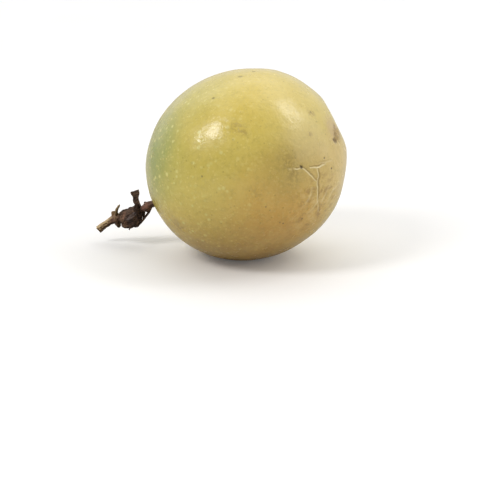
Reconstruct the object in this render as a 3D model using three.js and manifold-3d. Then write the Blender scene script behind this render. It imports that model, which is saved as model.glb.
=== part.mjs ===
// A ripe yellow passion fruit as picked, lying on its side, with its cut stalk and the
// withered flower that still clings to the stalk. Millimetres, +Z up. The origin is the
// middle of the small flat spot that the fruit lies on.
import * as THREE from "three";
import { mergeVertices } from "three/addons/utils/BufferGeometryUtils.js";
import Module from "manifold-3d";

const wasm = await Module();
wasm.setup();

// Driving dimensions of the fruit, in millimetres
const FRUIT_LENGTH = 71.4; // from the stalk end to the blossom end, before it is flattened
const FRUIT_WIDTH = 66.7;
const FRUIT_FULLNESS = 2.04; // 2 is an ellipsoid, and more gives fuller shoulders
const FRUIT_DETAIL = 14; // how finely the round surface is divided
const LOBE_HEIGHT = 0.25; // three faint lobes, one for each part of the seed chamber
const LOBES = 3;

// How the fruit lies, in degrees, and how deep its lowest skin is pressed flat
const AXIS_RISE = 27; // the blossom end is higher than the stalk end
const AXIS_TURN = -14.7; // and nearer to the front
const REST_SINK = 0.6;

// Places on the skin. Polar is the angle from the blossom end, and turn goes round the axis
// from the underside, through the back, to the top at 180 and the front at 270.

// The blossom end is flattened, at this distance from the fruit's centre
const FLATTENED = { polar: 17, turn: 89, distance: 34.35, softness: 0.25 };

// Shallow hollows in the skin
const HOLLOWS = [
  { name: "stalk end", polar: 180, turn: 0, spread: 7, depth: 1.2 },
  { name: "shrunken side", polar: 38, turn: 300, spread: 12, depth: 0.55 },
  { name: "shallow dent", polar: 68, turn: 240, spread: 8, depth: 0.3 },
  { name: "underside next to the blossom end", polar: 35, turn: 18, spread: 12, depth: 0.55 },
  { name: "back of the blossom end", polar: 31, turn: 141, spread: 14, depth: 0.45 },
  { name: "back of the crown", polar: 68, turn: 164, spread: 20, depth: 0.35 },
];

// The stalk and what is on it. at is the distance out from the fruit's end, had it no hollow
// there, and up and back are how far a point strays from the fruit's axis.
const CLEARANCE = 0.3; // between pieces that touch
const SOCKET_DEPTH = 4;
const FOOT_RADIUS = 1.4;
const STALK_STEPS = 34;
const STALK = [
  { at: CLEARANCE - SOCKET_DEPTH, up: 0, back: 0, radius: FOOT_RADIUS }, // in its socket
  { at: -2, up: 0, back: 0, radius: FOOT_RADIUS },
  { at: 0.2, up: 0, back: 0, radius: FOOT_RADIUS },
  { at: 2.7, up: 0.2, back: 0, radius: 1.2 },
  { at: 4.2, up: 0.3, back: 0, radius: 1.35 },
  { at: 5.6, up: 0, back: 0, radius: 1.8 }, // knob that the stamens grew from
  { at: 7.2, up: 0, back: 0, radius: 1.15 },
  { at: 8.7, up: -0.3, back: 0, radius: 0.8 }, // inside the flower
  { at: 13.4, up: -0.7, back: -0.1, radius: 0.8 },
  { at: 16.4, up: -0.1, back: 0, radius: 1.3 },
  { at: 17.5, up: 0.4, back: 0.1, radius: 1.8 },
  { at: 18.7, up: 0.6, back: 0.1, radius: 1.9 }, // joint that the bracts grew from
  { at: 20.4, up: 0.65, back: 0, radius: 1.3 },
  { at: 23.3, up: 0.25, back: -0.2, radius: 1.15 },
  { at: 26.3, up: -0.4, back: -0.3, radius: 1.2 }, // cut end
];
const KNOB = STALK[5];
const JOINT = STALK[11];

// Stubs of the bracts, each with its turn round the stalk from the top, how far along it is
// from the joint, and how far it reaches out and leans over
const BRACTS = [
  { turn: 15, along: 0, reach: 0.9, lean: -0.4, wide: 1.4, thick: 1.1 },
  { turn: -25, along: -1.2, reach: 2.9, lean: -3.9, wide: 0.75, thick: 0.6 }, // a spike
  { turn: 178, along: 0.2, reach: 1.4, lean: -0.4, wide: 1.3, thick: 1.1 },
  { turn: -100, along: -0.5, reach: 0.7, lean: -0.7, wide: 1.2, thick: 0.9 },
];

// What is left of the stamens, on the knob. The longest reaches past the flower.
const STAMEN_RADIUS = 0.42;
const LONG_STAMEN = { turn: 194, length: 7.2, spread: 4.3 };
const STAMEN_STUBS = [
  { turn: 40, length: 1.6 },
  { turn: 115, length: 1.2 },
  { turn: 250, length: 1.4 },
  { turn: 320, length: 1.0 },
];

// The withered flower: a crumpled cup, with its lobes folded back over it
const CUP_RIDGES = 5;
const CUP_RIDGE_SHARE = 0.13;
const CUP = [
  { at: 8.3, up: -0.5, radius: 1.9 },
  { at: 9.6, up: -0.9, radius: 2.4 },
  { at: 11.4, up: -1.1, radius: 2.8 },
  { at: 13.5, up: -1.1, radius: 3.1 },
  { at: 15.4, up: -0.9, radius: 3.0 },
  { at: 16.8, up: -0.6, radius: 2.2 },
];
const CUP_STEPS = 12;
const CUP_SIDES = 25;
const LOBE_HALF_THICKNESS = 0.4;
const SEPALS = 5;
const SEPAL_HALF_WIDTH = 1.25;
const PETAL_HALF_WIDTH = 0.9;
const STANDING_SEPAL = [
  { at: 9.3, up: 1.1, wide: 0.9 },
  { at: 8.5, up: 2.3, wide: 0.95 },
  { at: 8.4, up: 3.7, wide: 0.85 },
  { at: 8.1, up: 5.3, wide: 0.95 },
  { at: 7.6, up: 6.3, wide: 1.35 },
  { at: 7.0, up: 7.1, wide: 1.6 }, // spread tip
];
const FRINGE_THREADS = 18;
const FRINGE_RADIUS = 0.34;
const FRINGE_LENGTH = 2.1;
const SEED = 11;

const COLOURS = { fruit: 0xc9b863, stalk: 0x8b6b4f, flower: 0x3b2c27 };

const radians = THREE.MathUtils.degToRad;
const vector = (x, y, z) => new THREE.Vector3(x, y, z);

// A repeatable source of numbers from 0 to 1
function seeded(seed) {
  let state = seed;
  return () => {
    state = (state * 16807) % 2147483647;
    return state / 2147483647;
  };
}

// A closed geometry as a solid that can be joined and cut
function solidOf(geometry) {
  const bare = new THREE.BufferGeometry();
  bare.setAttribute("position", geometry.getAttribute("position"));
  if (geometry.index) bare.setIndex(geometry.index);
  const merged = mergeVertices(bare, 1e-4);
  return new wasm.Manifold(
    new wasm.Mesh({
      numProp: 3,
      vertProperties: new Float32Array(merged.attributes.position.array),
      triVerts: new Uint32Array(merged.index.array),
    }),
  );
}

function geometryOf(solid) {
  const mesh = solid.getMesh();
  const geometry = new THREE.BufferGeometry();
  geometry.setAttribute("position", new THREE.BufferAttribute(mesh.vertProperties, 3));
  geometry.setIndex(new THREE.BufferAttribute(mesh.triVerts, 1));
  geometry.computeVertexNormals();
  return geometry;
}

// A closed skin over rings of points that turn anticlockwise about the way they follow
function skin(rings) {
  const sides = rings[0].length;
  const points = rings.flat();
  const middle = (ring) =>
    ring.reduce((sum, p) => sum.add(p), vector(0, 0, 0)).divideScalar(sides);
  const faces = [];
  for (let i = 0; i + 1 < rings.length; i++)
    for (let j = 0; j < sides; j++) {
      const a = i * sides + j;
      const b = i * sides + ((j + 1) % sides);
      faces.push(a, b, b + sides, a, b + sides, a + sides);
    }
  const start = points.length;
  const last = (rings.length - 1) * sides;
  points.push(middle(rings[0]), middle(rings[rings.length - 1]));
  for (let j = 0; j < sides; j++) {
    const next = (j + 1) % sides;
    faces.push(start, next, j, start + 1, last + j, last + next);
  }
  return new THREE.BufferGeometry().setFromPoints(points).setIndex(faces);
}

// A limb with an oval section along a smooth line. Each station gives a place on the line and
// the section's half width and half thickness there. The width lies along across.
function limb(stations, across, { sides = 6, steps = 8, twist = 0, shape } = {}) {
  const line = new THREE.CatmullRomCurve3(stations.map((s) => s.place));
  const sizes = new THREE.CatmullRomCurve3(
    stations.map((s) => vector(s.wide, s.thick, 0)),
  );
  const rings = [];
  for (let i = 0; i <= steps; i++) {
    const t = i / steps;
    const way = line.getTangent(t);
    const wide = across.clone().projectOnPlane(way).normalize();
    wide.applyAxisAngle(way, twist * t);
    const thick = way.clone().cross(wide);
    const size = sizes.getPoint(t);
    const centre = line.getPoint(t);
    const ring = [];
    for (let j = 0; j < sides; j++) {
      const angle = (2 * Math.PI * j) / sides;
      const swell = shape ? shape(angle, t) : 1;
      ring.push(
        centre
          .clone()
          .addScaledVector(wide, Math.cos(angle) * size.x * swell)
          .addScaledVector(thick, Math.sin(angle) * size.y * swell),
      );
    }
    rings.push(ring);
  }
  return skin(rings);
}

// The fruit, in its own frame: the centre is the origin and the blossom end is on +Z
const halfLength = FRUIT_LENGTH / 2;
const halfWidth = FRUIT_WIDTH / 2;
const direction = (polar, turn) =>
  vector(
    Math.sin(radians(polar)) * Math.cos(radians(turn)),
    Math.sin(radians(polar)) * Math.sin(radians(turn)),
    Math.cos(radians(polar)),
  );
const hollows = HOLLOWS.map((h) => ({ ...h, way: direction(h.polar, h.turn) }));
const flatWay = direction(FLATTENED.polar, FLATTENED.turn);

// The radius in the direction way, held back to the flattened end with a soft edge
function flattened(way, radius) {
  const plane = FLATTENED.distance / Math.max(way.dot(flatWay), 0.5);
  const near = Math.min(radius, plane);
  const excess = (value) => Math.exp((near - value) / FLATTENED.softness);
  return near - FLATTENED.softness * Math.log(excess(radius) + excess(plane));
}

// How far the skin is from the fruit's centre in the direction way
function skinRadius(way) {
  const girth = Math.hypot(way.x, way.y);
  const share =
    (girth / halfWidth) ** FRUIT_FULLNESS + (Math.abs(way.z) / halfLength) ** FRUIT_FULLNESS;
  const lobes = LOBE_HEIGHT * girth ** 2 * Math.cos(LOBES * Math.atan2(way.y, way.x));
  const sunk = hollows.reduce((sum, h) => {
    const away = THREE.MathUtils.radToDeg(way.angleTo(h.way)) / h.spread;
    return sum + h.depth * Math.exp(-(away ** 2));
  }, 0);
  return flattened(way, share ** (-1 / FRUIT_FULLNESS) + lobes) - sunk;
}

function roundFruit() {
  const ball = new THREE.IcosahedronGeometry(1, FRUIT_DETAIL);
  const places = ball.getAttribute("position");
  const way = new THREE.Vector3();
  for (let i = 0; i < places.count; i++) {
    way.fromBufferAttribute(places, i).normalize();
    way.multiplyScalar(skinRadius(way));
    places.setXYZ(i, way.x, way.y, way.z);
  }
  return ball;
}

function fruitSolid(round, floor) {
  const bore = FOOT_RADIUS + CLEARANCE;
  const socket = new THREE.CylinderGeometry(bore, bore, 2 * SOCKET_DEPTH, 20)
    .rotateX(Math.PI / 2)
    .translate(0, 0, -halfLength);
  return solidOf(round).subtract(solidOf(socket)).subtract(solidOf(floor));
}

// The stalk's frame: the fruit's end is the origin, +Z runs out along the stalk, +X is up
// and +Y is back
const place = (s) => vector(s.up, s.back, s.at);

function stalkLimb(grow) {
  const stations = STALK.map((s) => ({
    place: place(s),
    wide: s.radius + grow,
    thick: s.radius + grow,
  }));
  return limb(stations, vector(1, 0, 0), { sides: 14, steps: STALK_STEPS });
}

// A point at a turn round the stalk from the top, out from its middle line
function around(turn, out, at, { up = 0, back = 0 } = {}) {
  const x = up + out * Math.cos(radians(turn));
  const y = back + out * Math.sin(radians(turn));
  return vector(x, y, at);
}

const acrossAt = (turn) => vector(-Math.sin(radians(turn)), Math.cos(radians(turn)), 0);

function bractStub({ turn, along, reach, lean, wide, thick }, grow) {
  const stations = [
    { out: 0.6, at: 0, share: 1 },
    { out: JOINT.radius + 0.35 * reach, at: 0.3 * lean, share: 0.85 },
    { out: JOINT.radius + reach, at: lean, share: 0.5 },
  ].map((s) => ({
    place: around(turn, s.out, JOINT.at + along + s.at, JOINT),
    wide: wide * s.share + grow,
    thick: thick * s.share + grow,
  }));
  return limb(stations, acrossAt(turn), { sides: 6, steps: 5 });
}

function stamen({ turn, length, spread = 0.9 * length }, grow) {
  const stations = [
    { out: 0.5, at: 0, size: 1 },
    { out: 0.9 + 0.35 * spread, at: 0.03 * length, size: 1 },
    { out: 0.9 + 0.65 * spread, at: 0.32 * length, size: 1 },
    { out: 0.9 + 0.9 * spread, at: 0.68 * length, size: 0.9 },
    { out: 0.9 + spread, at: length, size: 0.75 },
  ].map((s) => ({
    place: around(turn, s.out, KNOB.at - 0.8 + s.at, KNOB),
    wide: STAMEN_RADIUS * s.size + grow,
    thick: STAMEN_RADIUS * s.size + grow,
  }));
  return limb(stations, acrossAt(turn), { sides: 5, steps: 9 });
}

function stalkSolid(grow = 0) {
  let made = solidOf(stalkLimb(grow));
  for (const bract of BRACTS) made = made.add(solidOf(bractStub(bract, grow)));
  for (const one of [LONG_STAMEN, ...STAMEN_STUBS])
    made = made.add(solidOf(stamen(one, grow)));
  return made;
}

function cupLimb() {
  const stations = CUP.map((s) => ({
    place: vector(s.up, 0, s.at),
    wide: s.radius,
    thick: s.radius,
  }));
  return limb(stations, vector(1, 0, 0), {
    sides: CUP_SIDES,
    steps: CUP_STEPS,
    shape: (angle, t) => 1 + CUP_RIDGE_SHARE * Math.cos(CUP_RIDGES * angle + t),
  });
}

// A dried lobe that leaves the cup's rim and folds back over the cup
function foldedLobe(turn, halfWidthMm, random) {
  const lift = 0.4 * random();
  const reach = 4.2 + 1.8 * random();
  const rim = CUP[1];
  const belly = CUP[3];
  const stations = [
    { out: 1.5, at: rim.at, share: 0.7, middle: rim },
    { out: rim.radius + 0.6 + lift, at: rim.at + 0.3, share: 0.9, middle: rim },
    { out: belly.radius + lift, at: rim.at + 0.45 * reach, share: 1, middle: belly },
    { out: belly.radius + 0.1 + lift, at: rim.at + 0.8 * reach, share: 0.8, middle: belly },
    { out: belly.radius + 0.4 + lift, at: rim.at + reach, share: 0.35, middle: belly },
  ].map((s) => ({
    place: around(turn, s.out, s.at, s.middle),
    wide: halfWidthMm * s.share,
    thick: LOBE_HALF_THICKNESS,
  }));
  return limb(stations, acrossAt(turn), { steps: 9, twist: random() - 0.5 });
}

// The one sepal that stands up, with its tip spread
function standingSepal() {
  const stations = STANDING_SEPAL.map((s) => ({
    place: vector(s.up, 0, s.at),
    wide: s.wide,
    thick: LOBE_HALF_THICKNESS,
  }));
  return limb(stations, vector(0, -0.3, 0.95), { steps: 12 });
}

function fringeThread(turn, random) {
  const length = FRINGE_LENGTH * (0.6 + 0.6 * random());
  const rim = CUP[0];
  const stations = [
    { out: 1.4, at: rim.at + 0.7, share: 1 },
    { out: 1.6 + 0.4 * length, at: rim.at - 0.4 * random(), share: 0.9 },
    { out: 1.5 + 0.8 * length, at: rim.at + 0.5 * length * random(), share: 0.6 },
  ].map((s) => ({
    place: around(turn, s.out, s.at, rim),
    wide: FRINGE_RADIUS * s.share,
    thick: FRINGE_RADIUS * s.share,
  }));
  return limb(stations, acrossAt(turn), { sides: 3, steps: 3 });
}

function flowerSolid() {
  const random = seeded(SEED);
  let made = solidOf(cupLimb());
  for (let i = 0; i < SEPALS; i++) {
    const turn = (360 * i) / SEPALS;
    const sepal = i ? foldedLobe(turn, SEPAL_HALF_WIDTH, random) : standingSepal();
    const petal = foldedLobe(turn + 180 / SEPALS, PETAL_HALF_WIDTH, random);
    made = made.add(solidOf(sepal)).add(solidOf(petal));
  }
  for (let i = 0; i < FRINGE_THREADS; i++) {
    const turn = (360 * (i + 0.4 * random())) / FRINGE_THREADS;
    made = made.add(solidOf(fringeThread(turn, random)));
  }
  return made.subtract(stalkSolid(CLEARANCE));
}

function mesh(name, solid, colour, roughness) {
  const material = new THREE.MeshStandardMaterial({ color: colour, roughness, metalness: 0 });
  const made = new THREE.Mesh(geometryOf(solid), material);
  made.name = name;
  return made;
}

// The middle of the skin that is pressed flat when the tilted fruit is lowered to the floor
function flatMiddle(tilted) {
  const places = tilted.getAttribute("position");
  const all = [];
  for (let i = 0; i < places.count; i++)
    all.push(new THREE.Vector3().fromBufferAttribute(places, i));
  const level = Math.min(...all.map((p) => p.z)) + REST_SINK;
  const low = all.filter((p) => p.z < level);
  const middle = low.reduce((sum, p) => sum.add(p), vector(0, 0, 0));
  return middle.divideScalar(low.length).setZ(level);
}

const round = roundFruit();
const lying = new THREE.Group();
lying.rotation.set(0, Math.PI / 2 - radians(AXIS_RISE), radians(AXIS_TURN), "ZYX");
lying.updateMatrixWorld(true);
lying.position.copy(flatMiddle(round.clone().applyMatrix4(lying.matrixWorld)).negate());
lying.updateMatrixWorld(true);

const floor = new THREE.BoxGeometry(FRUIT_LENGTH, FRUIT_LENGTH, FRUIT_LENGTH)
  .translate(0, 0, -FRUIT_LENGTH / 2)
  .applyMatrix4(lying.matrixWorld.clone().invert());

const stem = new THREE.Group();
stem.rotation.y = Math.PI;
stem.position.z = -halfLength;
stem.add(mesh("stalk", stalkSolid(), COLOURS.stalk, 0.8));
stem.add(mesh("withered_flower", flowerSolid(), COLOURS.flower, 0.85));

lying.add(mesh("fruit", fruitSolid(round, floor), COLOURS.fruit, 0.4));
lying.add(stem);

const passionFruit = new THREE.Group();
passionFruit.add(lying);

export default passionFruit;
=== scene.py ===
"""A ripe yellow passion fruit on its side, with its dry stalk and withered flower."""

import math
import random

import bmesh
import bpy
import numpy as np
from mathutils import Matrix, Vector, kdtree, noise


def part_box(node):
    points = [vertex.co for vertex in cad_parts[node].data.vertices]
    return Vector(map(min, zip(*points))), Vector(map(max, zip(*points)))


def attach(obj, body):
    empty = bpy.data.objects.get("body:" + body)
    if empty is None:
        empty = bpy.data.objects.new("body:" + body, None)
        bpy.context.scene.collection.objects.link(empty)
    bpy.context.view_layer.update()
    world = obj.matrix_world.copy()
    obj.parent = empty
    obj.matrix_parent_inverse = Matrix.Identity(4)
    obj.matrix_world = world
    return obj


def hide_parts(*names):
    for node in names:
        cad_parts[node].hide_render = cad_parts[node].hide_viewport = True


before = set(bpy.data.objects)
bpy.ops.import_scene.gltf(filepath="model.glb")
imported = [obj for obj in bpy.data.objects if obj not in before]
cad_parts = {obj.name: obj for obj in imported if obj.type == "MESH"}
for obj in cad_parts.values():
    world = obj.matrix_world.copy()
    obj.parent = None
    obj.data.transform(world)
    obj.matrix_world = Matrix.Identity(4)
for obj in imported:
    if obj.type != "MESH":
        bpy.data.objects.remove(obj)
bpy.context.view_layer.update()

MM = 0.001
SEED = 7

# The fruit's form in millimetres, as in the solid. Polar is the angle from the blossom end,
# and turn goes round the axis from the underside, through the back, to the top at 180 and the
# front at 270.
HALF_LENGTH = 35.7
HALF_WIDTH = 33.35
FULLNESS = 2.04
LOBES = 3
LOBE_HEIGHT = 0.25
AXIS_RISE = 27.0
AXIS_TURN = -14.7
FLATTENED = (17, 89)
FLAT_DISTANCE = 34.35
FLAT_SOFTNESS = 0.25
HOLLOWS = [  # polar, turn, spread in degrees, depth
    (180, 0, 7, 1.2),
    (38, 300, 12, 0.55),
    (68, 240, 8, 0.3),
    (35, 18, 12, 0.55),
    (31, 141, 14, 0.45),
    (68, 164, 20, 0.35),
]

# The skin's finer relief, in millimetres
UNEVEN_HEIGHT = 0.16
UNEVEN_SIZE = 9.0
RIPPLE_HEIGHT = 0.03
RIPPLE_SIZE = 2.6
STALK_END = (180, 0)
PUCKERS = 11
PUCKER_DEPTH = 0.22
PUCKER_REACH = 9.0
SOCKET_EDGE = (1.1, 1.9)
SOCKET_DEPTH = 1.6
SOCKET_RIM = (2.3, 0.7, 0.5)  # how far out, width, height
SCAR_PLACE = (5, 320)
SCAR_RADIUS = 1.1
SCAR_DEPTH = 0.35
SCAR_RIM_WIDTH = 0.5
SCAR_RIM_HEIGHT = 0.16
SPECK_PIT_SHARE = 0.35
SHRUNKEN_CENTRE = (46, 312)
SHRUNKEN_REACH = 11.0
WRINKLE_HEIGHT = 0.13
WRINKLE_SIZE = 1.5
WRINKLE_SLANT = [(0.55, 0.3, 0.1), (0.2, 0.9, -0.5), (0.5, -0.6, 1.1)]
CREASED_CENTRE = (41, 306)

# How fine the skin's mesh is, and where it is finer: (polar, turn), reach, times halved
SKIN_FINENESS = 7
FINE_SPOTS = [(CREASED_CENTRE, 19, 2), (STALK_END, 15, 1), ((8, 300), 8, 1)]

# Creases in the shrunken side: places as (polar, turn), then width and depth
CREASES = [
    ([(46.6, 280.0), (44.8, 281.6), (42.3, 283.1)], 0.22, 0.09),
    ([(41.8, 283.4), (40.6, 288.5), (39.6, 296.8), (39.1, 305.1)], 0.25, 0.1),
    (
        [(34.4, 297.7), (36.4, 304.0), (39.2, 306.7), (42.4, 312.6), (46.1, 317.6), (49.6, 324.3)],
        0.29,
        0.17,
    ),
    ([(36.0, 291.0), (32.5, 295.9), (28.6, 300.0)], 0.26, 0.16),
    ([(29.4, 296.3), (26.6, 301.4)], 0.26, 0.07),
    ([(45.4, 318.5), (48.4, 320.8), (53.7, 319.7)], 0.42, 0.06),
    ([(46.5, 308.4), (49.7, 310.7), (53.7, 311.0)], 0.5, 0.05),
    ([(39.1, 324.4), (42.8, 324.5), (46.1, 325.4)], 0.42, 0.05),
    ([(34.9, 338.8), (38.9, 333.0), (42.5, 333.3)], 0.5, 0.05),
]
CREASED_REACH = 24
CREASE_STEPS = 60
CREASE_WANDER = 0.16
CREASE_WANDER_SIZE = 1.3
CREASE_SPREAD = 2.5
CREASE_RIM_SHARE = 0.32
FULLY_PAINTED_DEPTH = 0.14

# Dark specks: (polar, turn), radius and strength
SPECKS = [
    ((42.3, 283.1), 0.55, 1.0),
    ((42.6, 281.3), 0.3, 0.8),
    ((26.7, 295.1), 0.34, 0.85),
    ((27.5, 314.9), 0.36, 0.95),
    ((11.3, 304.0), 0.95, 0.9),
    ((12.0, 298.0), 0.6, 0.8),
    ((10.9, 311.0), 0.7, 0.75),
    ((8.2, 296.0), 0.6, 0.6),
    ((4.4, 278.0), 0.55, 0.6),
    ((2.6, 262.0), 0.6, 0.6),
    ((29.1, 2.0), 0.5, 0.6),
    ((79.1, 212.7), 0.5, 0.6),
    ((64.2, 192.8), 0.85, 0.5),
    ((58.1, 182.5), 0.7, 0.55),
    ((97.3, 258.2), 0.36, 0.6),
    ((72.1, 291.7), 0.32, 0.5),
    ((71.4, 307.6), 0.34, 0.45),
    ((70.4, 309.9), 0.34, 0.6),
    ((60.8, 318.1), 0.36, 0.6),
    ((22.4, 228.6), 0.4, 0.4),
    ((60.0, 40.0), 0.5, 0.8),
    ((95.0, 95.0), 0.42, 0.7),
    ((120.0, 140.0), 0.5, 0.5),
    ((75.0, 120.0), 0.36, 0.7),
]

# The stalk: distance out from the fruit's end, up, back, radius
STALK = [
    (-3.7, 0, 0, 1.4),
    (-2, 0, 0, 1.4),
    (0.2, 0, 0, 1.4),
    (2.7, 0.2, 0, 1.2),
    (4.2, 0.3, 0, 1.35),
    (5.6, 0, 0, 1.8),
    (7.2, 0, 0, 1.15),
    (8.7, -0.3, 0, 0.8),
    (13.4, -0.7, -0.1, 0.8),
    (16.4, -0.1, 0, 1.3),
    (17.5, 0.4, 0.1, 1.8),
    (18.7, 0.6, 0.1, 1.9),
    (20.4, 0.65, 0, 1.3),
    (23.3, 0.25, -0.2, 1.2),
    (26.3, -0.4, -0.3, 1.35),
]
CUT_HOLLOW = 0.35
KNOB = STALK[5]
JOINT = STALK[11]
BRACTS = [  # turn, distance from the joint, reach, lean, half width, half thickness
    (15, 0, 0.9, -0.4, 1.35, 1.05),
    (-25, -1.0, 2.8, -3.7, 0.95, 0.6),
    (178, 0.2, 1.4, -0.4, 1.3, 1.0),
    (-100, -0.5, 0.7, -0.7, 1.2, 0.85),
]
STAMENS = [  # turn, length, spread
    (194, 7.2, 4.3),
    (40, 1.6, 1.4),
    (115, 1.2, 1.1),
    (250, 1.4, 1.2),
    (320, 1.0, 0.9),
]
CUP = [  # distance out, up, radius
    (8.5, -0.1, 1.4),
    (9.8, -0.5, 1.9),
    (11.4, -1.0, 2.7),
    (13.5, -1.1, 3.1),
    (15.4, -0.9, 3.0),
    (16.8, -0.6, 2.2),
]
STANDING_LOBE = [  # distance out, up, half width
    (9.3, 1.1, 0.9),
    (8.6, 2.3, 1.1),
    (8.4, 3.7, 1.1),
    (7.8, 5.0, 1.2),
    (7.3, 6.2, 1.45),
    (7.15, 7.2, 1.7),
]
TOP_CORNER = [  # (up, back, distance out), half width, half thickness
    ((0.7, -0.2, 10.4), 0.9, 0.5),
    ((1.1, -0.2, 12.0), 1.4, 0.7),
    ((1.7, -0.3, 13.6), 1.5, 0.9),
    ((1.8, -0.4, 14.9), 1.4, 1.0),
    ((1.6, -0.5, 15.7), 1.2, 0.9),
]
SLANTING_FOLD = [
    ((0.3, -2.3, 9.6), 0.3, 0.3),
    ((-0.3, -3.0, 11.6), 0.4, 0.4),
    ((-1.0, -3.2, 13.6), 0.4, 0.35),
    ((-1.6, -2.7, 15.2), 0.25, 0.25),
]
SEPALS = 5
SEPAL_HALF_WIDTH = 1.3
PETAL_HALF_WIDTH = 0.95
LOBE_THICKNESS = 0.3
PETAL_THICKNESS = 0.22
FRINGE_THREADS = 64
FRINGE_LENGTH = 1.6
FRINGE_SWING = 30

# How far each dry piece is crumpled, and how big its crumples are, in millimetres
FOOT_CRUMPLE = (0.1, 0.7)
STAMEN_CRUMPLE = (0.12, 0.9)
STUB_CRUMPLE = (0.13, 0.8)
STUB_GRAIN = (0.05, 0.3)
BRACT_CRUMPLE = (0.16, 0.7)
CUP_CRUMPLE = (0.34, 1.5)
CUP_GRAIN = (0.1, 0.45)
LOBE_CRUMPLE = (0.3, 1.3)
STANDING_CRUMPLE = (0.22, 1.2)
LOBE_GRAIN = (0.08, 0.4)
FOLD_CRUMPLE = (0.22, 0.9)
THREAD_CRUMPLE = (0.14, 0.9)

# The photograph's view
IMAGE_SIDE = 500
FRUIT_PIXEL = (246.5, 163.8)
PIXELS_PER_MM = 2.85
VIEW_ELEVATION = 16.0
VIEW_DISTANCE = 0.7
SENSOR = 36.0


def direction(polar, turn):
    """The unit vector at a polar and turn angle in the fruit's own frame."""
    p, t = math.radians(polar), math.radians(turn)
    return np.array([math.sin(p) * math.cos(t), math.sin(p) * math.sin(t), math.cos(p)])


def degrees_between(ways, way):
    return np.degrees(np.arccos(np.clip(ways @ way, -1, 1)))


def skin_radius(ways):
    """How far the smooth skin is from the fruit's centre, in millimetres."""
    girth = np.hypot(ways[:, 0], ways[:, 1])
    share = (girth / HALF_WIDTH) ** FULLNESS + (np.abs(ways[:, 2]) / HALF_LENGTH) ** FULLNESS
    round_about = np.arctan2(ways[:, 1], ways[:, 0])
    radius = share ** (-1 / FULLNESS) + LOBE_HEIGHT * girth**2 * np.cos(LOBES * round_about)
    plane = FLAT_DISTANCE / np.maximum(ways @ direction(*FLATTENED), 0.5)
    near = np.minimum(radius, plane)
    excess = np.exp((near - radius) / FLAT_SOFTNESS) + np.exp((near - plane) / FLAT_SOFTNESS)
    radius = near - FLAT_SOFTNESS * np.log(excess)
    for polar, turn, spread, depth in HOLLOWS:
        away = degrees_between(ways, direction(polar, turn)) / spread
        radius -= depth * np.exp(-(away**2))
    return radius


def skin_place(polar, turn):
    way = direction(polar, turn)
    return way * skin_radius(way[None])[0]


def noise_at(places, size, shift=0.0):
    """Smooth noise from -1 to 1 at each place, with bumps of about that size."""
    move = Vector((shift, shift * 1.7, -shift))
    return np.array([noise.noise(Vector(p) / size + move) for p in places])


def smooth_step(low, high, values):
    t = np.clip((values - low) / (high - low), 0, 1)
    return t * t * (3 - 2 * t)


def curve_through(points, count):
    """A smooth curve through the points, as count places."""
    points = np.asarray(points, float)
    ends = np.vstack([2 * points[0] - points[1], points, 2 * points[-1] - points[-2]])
    spans = len(points) - 1
    t = np.linspace(0, spans, count)
    i = np.minimum(t.astype(int), spans - 1)
    f = (t - i)[:, None]
    a, b, c, d = ends[i], ends[i + 1], ends[i + 2], ends[i + 3]
    bend = (2 * a - 5 * b + 4 * c - d) * f**2
    return 0.5 * (2 * b + (c - a) * f + bend + (3 * b - a - 3 * c + d) * f**3)


# The fruit's skin


def skin_ways(fineness, fine_spots):
    """Unit directions and faces, finer round each ((polar, turn), reach, times)."""
    bm = bmesh.new()
    bmesh.ops.create_icosphere(bm, subdivisions=fineness, radius=1)
    for (polar, turn), reach, times in fine_spots:
        way = Vector(direction(polar, turn))
        limit = math.cos(math.radians(reach))
        for _ in range(times):
            edges = [e for e in bm.edges if all(v.co.normalized().dot(way) > limit for v in e.verts)]
            bmesh.ops.subdivide_edges(bm, edges=edges, cuts=1, use_grid_fill=True)
    bmesh.ops.triangulate(bm, faces=bm.faces)
    bm.verts.ensure_lookup_table()
    ways = np.array([v.co.normalized() for v in bm.verts])
    faces = [[v.index for v in f.verts] for f in bm.faces]
    bm.free()
    return ways, faces


def crease_relief(places, ways):
    """Depth of the creases, with masks of painted shade in them and of a painted highlight beside
    them.
    """
    samples = []
    for number, (stops, width, depth) in enumerate(CREASES):
        line = curve_through([skin_place(*s) for s in stops], CREASE_STEPS)
        wander = noise_at(line, CREASE_WANDER_SIZE, shift=number) * CREASE_WANDER
        along = np.gradient(line, axis=0)
        along /= np.linalg.norm(along, axis=1)[:, None]
        outward = line / np.linalg.norm(line, axis=1)[:, None]
        aside = np.cross(outward, along)
        line = line + aside * wander[:, None]
        fade = np.sin(np.linspace(0.12, 0.94, CREASE_STEPS) * math.pi) ** 0.6
        samples += [(line[i], aside[i], width, depth, fade[i]) for i in range(CREASE_STEPS)]
    tree = kdtree.KDTree(len(samples))
    for i, sample in enumerate(samples):
        tree.insert(sample[0], i)
    tree.balance()
    relief, floor, rim = np.zeros(len(places)), np.zeros(len(places)), np.zeros(len(places))
    near = degrees_between(ways, direction(*CREASED_CENTRE)) < CREASED_REACH
    for v in np.nonzero(near)[0]:
        for _, i, distance in tree.find_n(Vector(places[v]), 2):
            line_place, aside, width, depth, fade = samples[i]
            if distance > CREASE_SPREAD:
                continue
            off = float((places[v] - line_place) @ aside) / width
            groove = math.exp(-(off**2)) * fade
            low_rim = math.exp(-((abs(off) - 1.9) ** 2)) * fade
            relief[v] = min(relief[v], -depth * groove)
            if groove < 0.2:
                relief[v] = max(relief[v], CREASE_RIM_SHARE * depth * low_rim)
            share = min(1, depth / FULLY_PAINTED_DEPTH) * fade
            # painted shade along one wall of the crease, and a painted highlight just beyond the other
            floor[v] = max(floor[v], share * math.exp(-(((off - 0.9) / 1.3) ** 2)))
            rim[v] = max(rim[v], share * math.exp(-(((off + 1.1) / 1.0) ** 2)))
    return relief, floor, rim


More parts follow.
